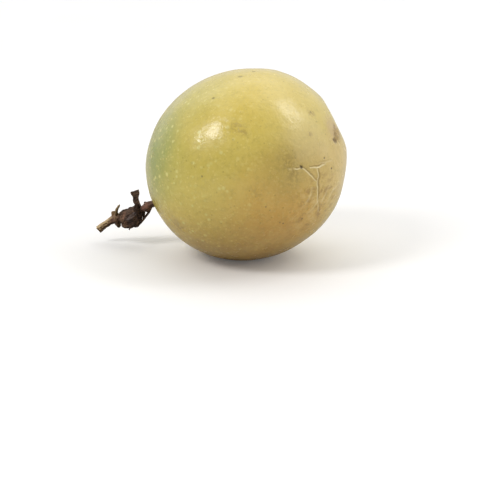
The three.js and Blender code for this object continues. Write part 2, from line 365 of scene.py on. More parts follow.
def shrunken_share(ways):
    away = degrees_between(ways, direction(*SHRUNKEN_CENTRE))
    return 1 - smooth_step(0.45 * SHRUNKEN_REACH, 1.5 * SHRUNKEN_REACH, away)


def skin_relief(ways, places):
    """What the fine skin adds to the smooth one, in millimetres, and its masks of painted shade and
    highlight.
    """
    relief = UNEVEN_HEIGHT * noise_at(places, UNEVEN_SIZE)
    relief += RIPPLE_HEIGHT * noise_at(places, RIPPLE_SIZE, shift=5)
    # slanting wrinkles where the rind has shrunk
    share = shrunken_share(ways)
    stretched = places @ np.array(WRINKLE_SLANT).T
    near = share > 0.01
    wrinkles = noise_at(stretched[near], WRINKLE_SIZE, shift=3)
    relief[near] += WRINKLE_HEIGHT * share[near] * wrinkles
    # puckers that run in to the stalk
    from_stalk = HALF_WIDTH * np.radians(degrees_between(ways, direction(*STALK_END)))
    angle = np.arctan2(ways[:, 1], ways[:, 0])
    pucker = np.cos(PUCKERS * angle + 2 * np.sin(3 * angle)) * PUCKER_DEPTH
    pucker *= smooth_step(0.8, 2.5, from_stalk) * (1 - smooth_step(3, PUCKER_REACH, from_stalk))
    relief += pucker
    # the rim and the bottom of the socket that holds the stalk
    rim_at, rim_width, rim_height = SOCKET_RIM
    relief += rim_height * np.exp(-(((from_stalk - rim_at) / rim_width) ** 2))
    relief -= SOCKET_DEPTH * (1 - smooth_step(*SOCKET_EDGE, from_stalk))
    # scar of the fallen style
    from_scar = HALF_WIDTH * np.radians(degrees_between(ways, direction(*SCAR_PLACE)))
    relief -= SCAR_DEPTH * (1 - smooth_step(0.3 * SCAR_RADIUS, SCAR_RADIUS, from_scar))
    from_rim = (from_scar - 1.5 * SCAR_RADIUS) / SCAR_RIM_WIDTH
    relief += SCAR_RIM_HEIGHT * np.exp(-(from_rim**2))
    # a pit under each speck
    for place, radius, strength in SPECKS:
        away = np.linalg.norm(places - skin_place(*place), axis=1) / radius
        relief -= SPECK_PIT_SHARE * strength * radius * np.exp(-(away**2))
    creases, floor, rim = crease_relief(places, ways)
    return relief + creases, floor, rim


def fruit_turning():
    return Matrix.Rotation(math.radians(AXIS_TURN), 4, "Z") @ Matrix.Rotation(
        math.radians(90 - AXIS_RISE), 4, "Y"
    )


def fruit_placing():
    """Where the fruit's own frame is, found by laying its top and sides on the solid's box."""
    turning = np.array(fruit_turning())[:3, :3]
    ways = skin_ways(5, [])[0]
    turned = ways * skin_radius(ways)[:, None] @ turning.T * MM
    low, high = (np.array(c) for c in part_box("fruit"))
    middle = (low + high) / 2 - (turned.min(0) + turned.max(0)) / 2
    middle[2] = high[2] - turned[:, 2].max()
    return Matrix.Translation(Vector(middle)) @ fruit_turning()


PLACING = fruit_placing()


def new_piece(name, places, faces, material, replaced, placing):
    """A smooth mesh from places in millimetres in the frame that placing gives."""
    turning = np.array(placing)
    places = np.asarray(places) * MM @ turning[:3, :3].T + turning[:3, 3]
    places[:, 2] = np.maximum(places[:, 2], 0)
    mesh = bpy.data.meshes.new(name)
    mesh.from_pydata([tuple(p) for p in places], [], faces)
    mesh.update()
    mesh.polygons.foreach_set("use_smooth", [True] * len(mesh.polygons))
    mesh.materials.append(material)
    piece = bpy.data.objects.new(name, mesh)
    bpy.context.scene.collection.objects.link(piece)
    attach(piece, "root")
    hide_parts(replaced)
    return piece


def paint(piece, name, values):
    layer = piece.data.attributes.new(name, "FLOAT", "POINT")
    layer.data.foreach_set("value", np.asarray(values, float))


def make_fruit(material):
    ways, faces = skin_ways(SKIN_FINENESS, FINE_SPOTS)
    smooth = ways * skin_radius(ways)[:, None]
    relief, floor, rim = skin_relief(ways, smooth)
    places = smooth + ways * relief[:, None]
    fruit = new_piece("fruit_skin", places, faces, material, "fruit", PLACING)
    # masks of painted shade in the creases and of painted highlight beside them
    paint(fruit, "crease_painted_shade", floor)
    paint(fruit, "crease_painted_highlight", rim)


# Stalk and flower. Their frame has its origin at the fruit's end, +Z out along the stalk, +X up
# and +Y back.


def limb(stations, across, sides=24, steps=60, twist=0.0, shape=None):
    """A closed limb. A station is (place, half width, half thickness)."""
    line = curve_through([s[0] for s in stations], steps + 1)
    sizes = curve_through([(s[1], s[2]) for s in stations], steps + 1)
    ways = np.gradient(line, axis=0)
    ways /= np.linalg.norm(ways, axis=1)[:, None]
    angles = np.arange(sides) * 2 * math.pi / sides
    places = []
    for i, way in enumerate(ways):
        t = i / steps
        wide = np.asarray(across, float) - way * (np.asarray(across) @ way)
        wide /= np.linalg.norm(wide)
        thick = np.cross(way, wide)
        c, s = math.cos(twist * t), math.sin(twist * t)
        wide, thick = c * wide + s * thick, c * thick - s * wide
        section = shape(angles, t) if shape else np.column_stack([np.cos(angles), np.sin(angles)])
        places.append(
            line[i]
            + np.outer(section[:, 0] * sizes[i, 0], wide)
            + np.outer(section[:, 1] * sizes[i, 1], thick)
        )
    places = np.vstack(places)
    faces = []
    for i in range(steps):
        for j in range(sides):
            a, b = i * sides + j, i * sides + (j + 1) % sides
            faces.append([a, b, b + sides, a + sides])
    start, end = len(places), len(places) + 1
    places = np.vstack([places, places[:sides].mean(0), places[-sides:].mean(0)])
    last = steps * sides
    for j in range(sides):
        k = (j + 1) % sides
        faces.append([start, k, j])
        faces.append([end, last + j, last + k])
    return places, faces


def joined(parts):
    """Several (places, faces) as one."""
    places, faces, count = [], [], 0
    for some_places, some_faces in parts:
        places.append(some_places)
        faces += [[v + count for v in f] for f in some_faces]
        count += len(some_places)
    return np.vstack(places), faces


def crumpled(places, height, size, shift=0.0):
    """The places moved about by smooth noise, as dry tissue shrinks."""
    moves = [noise_at(places, size, shift + 10 * axis) for axis in range(3)]
    return places + height * np.column_stack(moves)


def around(turn, out, at, up=0.0, back=0.0):
    t = math.radians(turn)
    return (up + out * math.cos(t), back + out * math.sin(t), at)


def across_at(turn):
    t = math.radians(turn)
    return (-math.sin(t), math.cos(t), 0)


def ribbed(ribs, share, lean=0.0):
    """A round section with ribs that wind slightly along the limb."""

    def section(angles, t):
        swell = 1 + share * np.cos(ribs * angles + lean * t) + 0.5 * share * np.cos(3 * angles - 4 * t)
        return np.column_stack([np.cos(angles) * swell, np.sin(angles) * swell])

    return section


def curled(curl, edge=0.55):
    """A thin section that is hollow on one face, with soft edges."""

    def section(angles, t):
        c, s = np.cos(angles), np.sin(angles)
        wave = 0.25 * np.sin(9 * t + 2 * c)
        return np.column_stack([c * (1 + 0.07 * np.sin(17 * t)), edge * s + curl * c**2 + wave * c])

    return section


def stalk_stations(first, last, grow=0.0):
    return [((s[1], s[2], s[0]), s[3] + grow, s[3] + grow) for s in STALK[first:last]]


def foot_and_knob():
    """The dark limb next to the fruit, and the knob that carried the stamens."""
    places, faces = limb(
        stalk_stations(0, 9), (1, 0, 0), sides=40, steps=110, shape=ribbed(9, 0.05, lean=1.5)
    )
    return crumpled(places, *FOOT_CRUMPLE), faces


def stamens():
    parts = []
    for number, (turn, length, spread) in enumerate(STAMENS):
        stations = [
            (around(turn, out, KNOB[0] - 0.8 + at, KNOB[1], KNOB[2]), size, size)
            for out, at, size in [
                (0.5, 0, 0.42),
                (0.9 + 0.16 * spread, 0.04 * length, 0.42),
                (0.9 + 0.44 * spread, 0.34 * length, 0.4),
                (0.9 + 0.76 * spread, 0.7 * length, 0.34),
                (0.9 + spread, length, 0.26),
            ]
        ]
        steps = int(14 + 6 * length)
        shape = ribbed(3, 0.18, lean=9)
        places, faces = limb(stations, across_at(turn), sides=10, steps=steps, shape=shape)
        parts.append((crumpled(places, *STAMEN_CRUMPLE, shift=number), faces))
    return joined(parts)


def stub():
    """The cut stalk, from inside the flower to its cut end."""
    places, faces = limb(
        stalk_stations(8, 15), (1, 0, 0), sides=44, steps=120, shape=ribbed(7, 0.06, lean=1.0)
    )
    places = crumpled(places, *STUB_CRUMPLE, shift=2)
    places = crumpled(places, *STUB_GRAIN, shift=4)
    places[-1] -= (0, 0, CUT_HOLLOW)
    return places, faces


def bracts():
    parts = []
    for number, (turn, along, reach, lean, wide, thick) in enumerate(BRACTS):
        stations = [
            (
                around(turn, out, JOINT[0] + along + at, JOINT[1], JOINT[2]),
                wide * share,
                thick * share,
            )
            for out, at, share in [
                (0.6, 0, 1),
                (JOINT[3] + 0.35 * reach, 0.3 * lean, 0.85),
                (JOINT[3] + 0.8 * reach, 0.75 * lean, 0.6),
                (JOINT[3] + reach, lean, 0.35),
            ]
        ]
        places, faces = limb(
            stations, across_at(turn), sides=20, steps=30, shape=ribbed(4, 0.14, lean=3)
        )
        parts.append((crumpled(places, *BRACT_CRUMPLE, shift=6 + number), faces))
    return joined(parts)


def cup():
    stations = [((up, 0, at), radius, radius) for at, up, radius in CUP]
    places, faces = limb(
        stations, (1, 0, 0), sides=110, steps=70, shape=ribbed(SEPALS, 0.12, lean=1)
    )
    places = crumpled(places, *CUP_CRUMPLE, shift=1)
    return crumpled(places, *CUP_GRAIN, shift=8), faces


def folded_lobe(turn, half_width, thickness, draw):
    """A dry lobe that leaves the cup's rim and folds back over the cup."""
    lift = 0.25 * draw.random()
    reach = 4.2 + 1.8 * draw.random()
    rim_at, rim_up, rim_radius = CUP[1]
    _, belly_up, belly = CUP[3]
    stations = [
        (around(turn + aside, out, rim_at + at, up), share * half_width, thickness)
        for aside, out, at, up, share in [
            (0, 1.5, 0, rim_up, 0.7),
            (0, rim_radius + 0.35 + lift, 0.3, rim_up, 0.9),
            (0, belly + lift, 0.45 * reach, belly_up, 1),
            (6, belly + 0.1 + lift, 0.8 * reach, belly_up, 0.8),
            (9, belly + 0.4 + lift, reach, belly_up, 0.3),
        ]
    ]
    twist = draw.random() - 0.5
    shape = curled(-0.9 - 0.8 * draw.random())
    places, faces = limb(stations, across_at(turn), sides=26, steps=46, twist=twist, shape=shape)
    places = crumpled(places, *LOBE_CRUMPLE, shift=turn / 9)
    return crumpled(places, *LOBE_GRAIN, shift=turn / 7), faces


def standing_lobe():
    """The one lobe that stands up, with its tip spread and bent."""
    stations = [((up, 0, at), wide, LOBE_THICKNESS) for at, up, wide in STANDING_LOBE]
    places, faces = limb(stations, (0, -0.3, 0.95), sides=26, steps=60, shape=curled(0.9))
    places = crumpled(places, *STANDING_CRUMPLE, shift=3)
    return crumpled(places, *LOBE_GRAIN, shift=5), faces


def folds_of_the_cup():
    """The top corner of the cup, and the slanting fold across its front."""
    parts = []
    for shift, stations, across in [(20, TOP_CORNER, (0, 1, 0)), (21, SLANTING_FOLD, (1, 0, 0.3))]:
        places, faces = limb(stations, across, sides=22, steps=40, shape=curled(0.3, edge=0.8))
        parts.append((crumpled(places, *FOLD_CRUMPLE, shift=shift), faces))
    return joined(parts)


def lobes():
    """The standing lobe, the folds, and sepals and narrower petals by turns round the cup."""
    draw = random.Random(SEED)
    parts = [standing_lobe(), folds_of_the_cup()]
    for i in range(SEPALS):
        turn = 360 * i / SEPALS
        # the sepal on top is the standing lobe
        if i:
            parts.append(folded_lobe(turn, SEPAL_HALF_WIDTH, LOBE_THICKNESS, draw))
        parts.append(folded_lobe(turn + 180 / SEPALS, PETAL_HALF_WIDTH, PETAL_THICKNESS, draw))
    return joined(parts)


def fringe():
    """Shrivelled threads that stood round the flower's mouth."""
    draw = random.Random(SEED + 1)
    rim_at, rim_up, _ = CUP[0]
    parts = []
    for i in range(FRINGE_THREADS):
        turn = 360 * (i + 0.6 * draw.random()) / FRINGE_THREADS
        length = FRINGE_LENGTH * (0.5 + 0.75 * draw.random())
        size = 0.13 + 0.07 * draw.random()
        swing = FRINGE_SWING * (draw.random() - 0.5)
        stations = [
            (around(turn + aside, out, rim_at + at, rim_up), share * size, share * size)
            for aside, out, at, share in [
                (0, 1.3, 0.8, 1),
                (0, 1.6 + 0.35 * length, -0.5 * draw.random(), 1),
                (swing, 1.6 + 0.7 * length, 0.3 * draw.random(), 0.9),
                (2 * swing, 1.4 + 0.8 * length, 0.7 * length * draw.random(), 0.5),
            ]
        ]
        places, faces = limb(stations, across_at(turn), sides=6, steps=14)
        parts.append((crumpled(places, *THREAD_CRUMPLE, shift=i), faces))
    return joined(parts)


# Materials


def linear(colour):
    """A colour given as 0 to 255 on screen, as the shader wants it."""
    channels = [c / 255 for c in colour]
    return (
        *[c / 12.92 if c <= 0.04045 else ((c + 0.055) / 1.055) ** 2.4 for c in channels],
        1.0,
    )


class Wiring:
    """Adds nodes to a material or group and links them."""

    def __init__(self, tree):
        self.tree = tree

    def add(self, kind, inputs=None, **settings):
        node = self.tree.nodes.new(kind)
        for name, value in settings.items():
            setattr(node, name, value)
        for socket, value in (inputs or {}).items():
            if isinstance(value, bpy.types.NodeSocket):
                self.tree.links.new(value, node.inputs[socket])
            else:
                node.inputs[socket].default_value = value
        return node

    def math(self, operation, a, b=0.0):
        return self.add("ShaderNodeMath", {0: a, 1: b}, operation=operation).outputs[0]

    def mix(self, share, first, second):
        node = self.add("ShaderNodeMix", {0: share, 6: first, 7: second}, data_type="RGBA")
        return node.outputs[2]

    def ramp(self, value, low, high, to_low=0.0, to_high=1.0):
        node = self.add(
            "ShaderNodeMapRange",
            {0: value, 1: low, 2: high, 3: to_low, 4: to_high},
            interpolation_type="SMOOTHSTEP",
        )
        return node.outputs[0]

    def noise(self, place, size, detail=2.0, roughness=0.5):
        return self.add(
            "ShaderNodeTexNoise",
            {"Vector": place, "Scale": 1 / size, "Detail": detail, "Roughness": roughness},
        ).outputs["Fac"]

    def bump(self, height, distance, strength=1.0):
        settings = {"Height": height, "Distance": distance, "Strength": strength}
        return self.add("ShaderNodeBump", settings).outputs[0]

    def place(self):
        """Where the surface is in the fruit's own frame, in millimetres."""
        own = self.add("ShaderNodeTexCoord").outputs["Object"]
        where = {
            "Vector": own,
            "Location": PLACING.translation,
            "Rotation": PLACING.to_euler(),
            "Scale": (MM, MM, MM),
        }
        return self.add("ShaderNodeMapping", where, vector_type="TEXTURE").outputs[0]


def new_group(name, inputs, outputs):
    group = bpy.data.node_groups.new(name, "ShaderNodeTree")
    for label, kind, value in inputs:
        socket = group.interface.new_socket(label, in_out="INPUT", socket_type=kind)
        if value is not None:
            socket.default_value = value
    for label, kind in outputs:
        group.interface.new_socket(label, in_out="OUTPUT", socket_type=kind)
    wires = Wiring(group)
    return group, wires, wires.add("NodeGroupInput").outputs, wires.add("NodeGroupOutput").inputs


def patch_group():
    """A soft, ragged patch round a centre."""
    group, w, given, out = new_group(
        "soft patch",
        [
            ("Place", "NodeSocketVector", None),
            ("Centre", "NodeSocketVector", None),
            ("Reach", "NodeSocketFloat", 10.0),
            ("Softness", "NodeSocketFloat", 0.5),
            ("Raggedness", "NodeSocketFloat", 0.2),
            ("Ragged Size", "NodeSocketFloat", 4.0),
        ],
        [("Mask", "NodeSocketFloat")],
    )
    away = w.add(
        "ShaderNodeVectorMath", {0: given["Place"], 1: given["Centre"]}, operation="DISTANCE"
    ).outputs["Value"]
    share = w.math("DIVIDE", away, given["Reach"])
    scale = w.math("DIVIDE", 1.0, given["Ragged Size"])
    rough = w.add(
        "ShaderNodeTexNoise", {"Vector": given["Place"], "Scale": scale, "Detail": 3.0}
    ).outputs["Fac"]
    shifted = w.math("SUBTRACT", rough, 0.5)
    ragged = w.math("MULTIPLY", shifted, given["Raggedness"])
    share = w.math("ADD", share, w.math("MULTIPLY", ragged, 2.0))
    inner = w.math("SUBTRACT", 1.0, given["Softness"])
    outer = w.math("ADD", 1.0, given["Softness"])
    mask = w.ramp(share, inner, outer, 1.0, 0.0)
    w.tree.links.new(mask, out["Mask"])
    return group


def wrinkle_group():
    """Fine shrinking wrinkles, finer across the fibres than along them."""
    group, w, given, out = new_group(
        "dry wrinkles",
        [
            ("Place", "NodeSocketVector", None),
            ("Size", "NodeSocketFloat", 0.6),
            ("Stretch", "NodeSocketFloat", 0.25),
        ],
        [("Height", "NodeSocketFloat"), ("Mask", "NodeSocketFloat")],
    )
    stretch = w.add(
        "ShaderNodeCombineXYZ", {"X": 1.0, "Y": 1.0, "Z": given["Stretch"]}
    ).outputs[0]
    place = w.add(
        "ShaderNodeVectorMath", {0: given["Place"], 1: stretch}, operation="MULTIPLY"
    ).outputs[0]
    scale = w.math("DIVIDE", 1.0, given["Size"])
    fibres = w.add(
        "ShaderNodeTexNoise",
        {"Vector": place, "Scale": scale, "Detail": 4.0, "Roughness": 0.6},
    ).outputs["Fac"]
    grain = w.add(
        "ShaderNodeTexNoise",
        {"Vector": given["Place"], "Scale": w.math("MULTIPLY", scale, 1.8), "Detail": 2.0},
    ).outputs["Fac"]
    height = w.math("ADD", w.math("MULTIPLY", fibres, 0.7), w.math("MULTIPLY", grain, 0.3))
    w.tree.links.new(height, out["Height"])
    w.tree.links.new(w.ramp(height, 0.38, 0.66), out["Mask"])
    return group


def painted_shading_group():
    """Masks of painted light on a dry surface's upper side and of painted shade on its underside."""
    group, w, given, out = new_group(
        "painted light and shade",
        [("Place", "NodeSocketVector", None), ("Facing Up", "NodeSocketFloat", 0.0)],
        [("Painted Light", "NodeSocketFloat"), ("Dark", "NodeSocketFloat")],
    )
    uneven = w.math("MULTIPLY", w.math("SUBTRACT", w.noise(given["Place"], 0.9, 3.0), 0.5), 1.1)
    height = w.math("ADD", given["Facing Up"], uneven)
    patchy = w.ramp(w.noise(given["Place"], 0.6, 3.0, 0.6), 0.35, 0.55, 0.35, 1.0)
    # painted light where the surface faces up, painted shade where it faces down
    w.tree.links.new(w.math("MULTIPLY", w.ramp(height, -0.3, 0.5), patchy), out["Painted Light"])
    w.tree.links.new(w.ramp(height, -0.65, 0.1, 1.0, 0.0), out["Dark"])
    return group


PATCH = patch_group()
WRINKLES = wrinkle_group()
PAINTED_SHADING = painted_shading_group()


def new_material(name):
    material = bpy.data.materials.new(name)
    material.use_nodes = True
    material.node_tree.nodes.clear()
    return material, Wiring(material.node_tree)


def finish_material(w, colour, roughness, normal=None, **constants):
    """Ends a material, with its shader's constants by name."""
    shader = w.add("ShaderNodeBsdfPrincipled", {"Base Color": colour, "Roughness": roughness})
    if normal is not None:
        w.tree.links.new(normal, shader.inputs["Normal"])
    for name, value in constants.items():
        shader.inputs[name.replace("_", " ")].default_value = value
    w.add("ShaderNodeOutputMaterial", {"Surface": shader.outputs[0]})
    return shader


def patch_at(w, place, centre, reach, softness, ragged, ragged_size):
    """The mask of a patch round a place in the fruit's own frame."""
    settings = {
        "Place": place,
        "Centre": centre,
        "Reach": reach,
        "Softness": softness,
        "Raggedness": ragged,
        "Ragged Size": ragged_size,
    }
    return w.add("ShaderNodeGroup", settings, node_tree=PATCH).outputs["Mask"]


def patch(w, place, where, reach, softness=0.5, ragged=0.15, ragged_size=6.0):
    """The mask of a patch of skin round (polar, turn)."""
    return patch_at(w, place, skin_place(*where), reach, softness, ragged, ragged_size)


def tint(w, colour, mask, strength, tone):
    """The colour with a screen colour mixed in where the mask is, as strongly as given."""
    return w.mix(w.math("MULTIPLY", mask, strength), colour, linear(tone))


# Colour zones of the rind: screen colour, (polar, turn), reach, softness, strength
RIND_YELLOW = (217, 195, 94)
RIND_ZONES = [
    ((226, 200, 100), (112, 275), 24, 0.7, 0.7),
    ((214, 187, 60), (76, 214), 20, 0.7, 0.75),
    ((192, 189, 112), (118, 200), 11, 0.8, 0.5),
    ((200, 188, 84), (124, 236), 15, 0.6, 0.75),
    ((158, 167, 76), (134, 227), 14, 0.6, 0.9),
    ((138, 158, 78), (130, 232), 7, 0.9, 0.6),
    ((184, 180, 86), (101, 205), 11, 0.8, 0.5),
    ((208, 194, 88), (98, 262), 17, 0.8, 0.45),
    ((192, 184, 94), (84, 201), 11, 0.8, 0.4),
    ((148, 162, 88), (122, 216), 8, 0.9, 0.6),
    ((224, 176, 78), (66, 305), 17, 0.7, 0.85),
    ((212, 166, 78), (60, 322), 10, 0.8, 0.5),
    ((194, 169, 86), (48, 277), 9, 0.8, 0.8),
    ((198, 172, 94), (33, 268), 7, 0.9, 0.6),
    ((214, 184, 106), (28, 322), 13, 0.6, 0.8),
    ((230, 203, 136), (24, 350), 11, 0.7, 0.8),
    # partly painted highlight: paler and bluer where the window's highlight falls
    ((222, 200, 118), (30, 225), 12, 0.8, 0.5),
    ((206, 184, 88), (100, 60), 34, 0.8, 0.6),
    ((176, 172, 78), (140, 120), 24, 0.8, 0.7),
    # a browner underside, darkened further by painted shade where the fruit rests
    ((160, 116, 64), (112, 338), 23, 0.7, 0.75),
]

# Dull smears in the skin: (polar, turn), reach and strength
SMEARS = [
    ((68.8, 238.5), 2.0, 0.27),
    ((65.3, 242.5), 1.2, 0.3),
    ((47.6, 270.0), 3.4, 0.2),
    ((47.3, 277.0), 2.8, 0.18),
    ((49.4, 285.5), 2.8, 0.24),
    ((71.9, 279.8), 2.6, 0.16),
    ((22.5, 229.9), 1.6, 0.32),
    ((28.0, 259.5), 1.1, 0.35),
    ((3.5, 330), 2.6, 0.4),
    ((133.4, 286.4), 3.0, 0.35),
    ((84, 150), 3.2, 0.3),
    ((110, 75), 2.6, 0.35),
]
# The rind's other screen colours
BLOTCH = (238, 216, 130)
SHADE = (160, 146, 62)
PALE_GRAIN = (236, 220, 142)
SPOT_ON_YELLOW = (244, 208, 112)
SPOT_ON_GREEN = (226, 220, 136)
FINE_PALE_DOT = (238, 218, 128)
FINE_DARK_DOT = (132, 112, 40)
SMEAR = (144, 114, 48)
MOTTLE = (160, 120, 58)
MOTTLE_FLECK = (232, 204, 138)
# painted shade in the creases, and painted highlight beside them
CREASE_PAINTED_SHADE = (136, 102, 50)
CREASE_PAINTED_HIGHLIGHT = (250, 236, 180)
SPECK = (58, 38, 2)
SCAR_BLUSH = (198, 164, 118)
SCAR_SCAB = (136, 108, 58)
STALK_RING = (122, 104, 58)

# The wax on the rind: its relief in metres, roughness and share
RIND_BUMP = 0.00016
WAX_ROUGHNESS = (0.2, 0.28)
WAX_SHARE = 0.6

# The relief of dry tissue, in metres
TISSUE_BUMP = 0.00014
DEEP_TISSUE_BUMP = 0.0002

# Breathing spots and fine dots, in millimetres
SPOT_SPACING = 2.2
SPOT_RADIUS = 0.6
FINE_DOT_SPACING = 1.35
FINE_DOT_RADIUS = 0.3

# Where the spots are clearest: (polar, turn), reach, softness, raggedness
SPOTTED_SIDE = ((128, 238), 38, 0.6, 0.1)
DOTTED_SIDE = ((118, 238), 36, 0.7, 0.1)

# Dull marks: (polar, turn), reach, softness, raggedness and its size
MOTTLED_PATCH = ((48, 322), 10, 0.6, 0.3, 4.0)
BLUSH_PATCH = ((6, 275), 4.2, 0.6, 0.4, 1.6)
SCAB_PATCH = ((7.5, 308), 2.0, 0.35, 1.1, 0.9)
RING_PATCH = (STALK_END, 3.2, 0.6, 0.2, 2.0)


def ripening_and_painted_light(w, place):
    """The rind's colour zones, with blotches and grain that lighten and darken it a little."""
    colour = linear(RIND_YELLOW)
    for tone, where, reach, softness, strength in RIND_ZONES:
        colour = tint(w, colour, patch(w, place, where, reach, softness), strength, tone)
    colour = tint(w, colour, w.ramp(w.noise(place, 7.0, 3.0), 0.3, 0.7), 0.14, BLOTCH)
    colour = tint(w, colour, w.ramp(w.noise(place, 1.9, 4.0, 0.65), 0.45, 0.75), 0.26, SHADE)
    return tint(w, colour, w.ramp(w.noise(place, 1.1, 3.0, 0.6), 0.5, 0.75), 0.22, PALE_GRAIN)


def scattered(w, place, spacing, randomness):
    """Cells of about that size: how far a place is from its cell's centre, and two draws."""
    settings = {"Vector": place, "Scale": 1 / spacing, "Randomness": randomness}
    cells = w.add("ShaderNodeTexVoronoi", settings).outputs
    draws = w.add("ShaderNodeSeparateColor", {0: cells["Color"]}).outputs
    return w.math("MULTIPLY", cells["Distance"], spacing), draws["Red"], draws["Green"]


def breathing_spots(w, place, colour):
    """Pale spots of uneven size, strongest where the rind is still green, and their mask."""
    away, size_draw, strength_draw = scattered(w, place, SPOT_SPACING, 0.9)
    radius = w.ramp(size_draw, 0.0, 1.0, 0.55 * SPOT_RADIUS, 1.25 * SPOT_RADIUS)
    spots = w.ramp(w.math("DIVIDE", away, radius), 0.35, 1.3, 1.0, 0.0)
    spots = w.math("MULTIPLY", spots, w.ramp(strength_draw, 0.1, 0.9, 0.25, 1.0))
    green = patch(w, place, *SPOTTED_SIDE)
    share = w.math("MULTIPLY", spots, w.ramp(green, 0.0, 1.0, 0.12, 0.88))
    tone = w.mix(green, linear(SPOT_ON_YELLOW), linear(SPOT_ON_GREEN))
    return w.mix(share, colour, tone), spots


def fine_dots(w, place, colour):
    """Tiny dots, some pale, mostly towards the stalk, and a few dark ones all over."""
    away, draw, _ = scattered(w, place, FINE_DOT_SPACING, 1.0)
    dots = w.ramp(away, 0.4 * FINE_DOT_RADIUS, 1.5 * FINE_DOT_RADIUS, 1.0, 0.0)
    clear = w.ramp(patch(w, place, *DOTTED_SIDE), 0.0, 1.0, 0.12, 0.65)
    pale_share = w.math("MULTIPLY", w.ramp(draw, 0.35, 0.9), clear)
    colour = tint(w, colour, dots, pale_share, FINE_PALE_DOT)
    return tint(w, colour, dots, w.ramp(draw, 0.05, 0.22, 0.36, 0.0), FINE_DARK_DOT)


def smeared(w, place, colour):
    for where, reach, strength in SMEARS:
        mask = w.math("MULTIPLY", patch(w, place, where, reach, 0.7, 0.7, 1.2), strength)
        broken = w.ramp(w.noise(place, 1.1, 3.0, 0.6), 0.38, 0.6, 0.1, 1.5)
        colour = tint(w, colour, mask, broken, SMEAR)
    return colour


def shrunken(w, place, colour):
    """Slanting mottles where the rind has shrunk, and the creases, with painted shade in them and a
    painted highlight along one side.
    """
    dry = patch(w, place, *MOTTLED_PATCH)
    slant = {"Vector": place, "Rotation": (0.5, 0.9, 0.3), "Scale": (1.0, 0.45, 1.0)}
    mottles = w.noise(w.add("ShaderNodeMapping", slant).outputs[0], 2.1, 4.0, 0.62)
    brown = w.math("MULTIPLY", dry, w.ramp(mottles, 0.48, 0.64))
    colour = tint(w, colour, brown, 0.62, MOTTLE)
    flecks = w.math("MULTIPLY", dry, w.ramp(mottles, 0.36, 0.46, 1.0, 0.0))
    colour = tint(w, colour, flecks, 0.5, MOTTLE_FLECK)
    floor = w.add("ShaderNodeAttribute", attribute_name="crease_painted_shade").outputs["Fac"]
    rim = w.add("ShaderNodeAttribute", attribute_name="crease_painted_highlight").outputs["Fac"]
    # painted shade in the creases, and a painted highlight along one side of them
    colour = tint(w, colour, floor, 0.5, CREASE_PAINTED_SHADE)
    return tint(w, colour, rim, 0.95, CREASE_PAINTED_HIGHLIGHT)


def marked(w, place, colour):
    """Specks, the style's scar and the ring round the stalk, and how dull the wax is there."""
    dull = 0.0
    for where, radius, strength in SPECKS:
        mask = patch(w, place, where, radius, 0.5, 0.5, 0.7)
        dull = w.math("MAXIMUM", dull, w.math("MULTIPLY", mask, strength))
        colour = tint(w, colour, mask, 0.85 * strength, SPECK)
    colour = tint(w, colour, patch(w, place, *BLUSH_PATCH), 0.5, SCAR_BLUSH)
    scab = patch(w, place, *SCAB_PATCH)
    dull = w.math("MAXIMUM", dull, w.math("MULTIPLY", scab, 0.7))
    colour = tint(w, colour, scab, 0.5, SCAR_SCAB)
    colour = tint(w, colour, patch(w, place, *RING_PATCH), 0.75, STALK_RING)
    return colour, dull


def pebbled(w, place, spots):
    """The normal of pebbled wax, with the breathing spots slightly raised."""
    pebble = w.noise(place, 0.75, 2.0, 0.5)
    swell = w.noise(place, 2.4, 2.0, 0.5)
    height = w.math("ADD", w.math("MULTIPLY", pebble, 0.35), swell)
    height = w.math("ADD", height, w.math("MULTIPLY", spots, 0.12))
    return w.bump(height, RIND_BUMP, 0.9)


def waxy_rind():
    material, w = new_material("waxy_rind")
    place = w.place()
    colour, spots = breathing_spots(w, place, ripening_and_painted_light(w, place))
    colour = fine_dots(w, place, colour)
    colour = smeared(w, place, colour)
    colour = shrunken(w, place, colour)
    colour, dull = marked(w, place, colour)
    roughness = w.ramp(w.noise(place, 3.0, 3.0), 0.3, 0.7, *WAX_ROUGHNESS)
    roughness = w.math("ADD", roughness, w.math("MULTIPLY", dull, 0.35))
    shader = finish_material(
        w, colour, roughness, pebbled(w, place, spots), IOR=1.55, Coat_IOR=1.5, Coat_Roughness=0.36
    )
    wax = w.math("MULTIPLY", w.math("SUBTRACT", 1.0, dull), WAX_SHARE)
    w.tree.links.new(wax, shader.inputs["Coat Weight"])
    return material


def dry_tissue(name, dark, light, size, roughness, light_share=0.6, bump=TISSUE_BUMP, extra=None):
    """Dead plant tissue: dark hollows, lighter raised fibres."""
    material, w = new_material(name)
    place = w.place()
    wrinkles = w.add("ShaderNodeGroup", {"Place": place, "Size": size}, node_tree=WRINKLES).outputs
    colour = w.mix(w.math("MULTIPLY", wrinkles["Mask"], light_share), linear(dark), linear(light))
    if extra:
        colour = extra(w, place, colour)
    normal = w.bump(wrinkles["Height"], bump)
    finish_material(w, colour, roughness, normal, IOR=1.4)
    return material


def stalk_place(at, up, back=0.0):
    """A place on the stalk, in the fruit's own frame."""
    return (-up, back, -HALF_LENGTH - at)


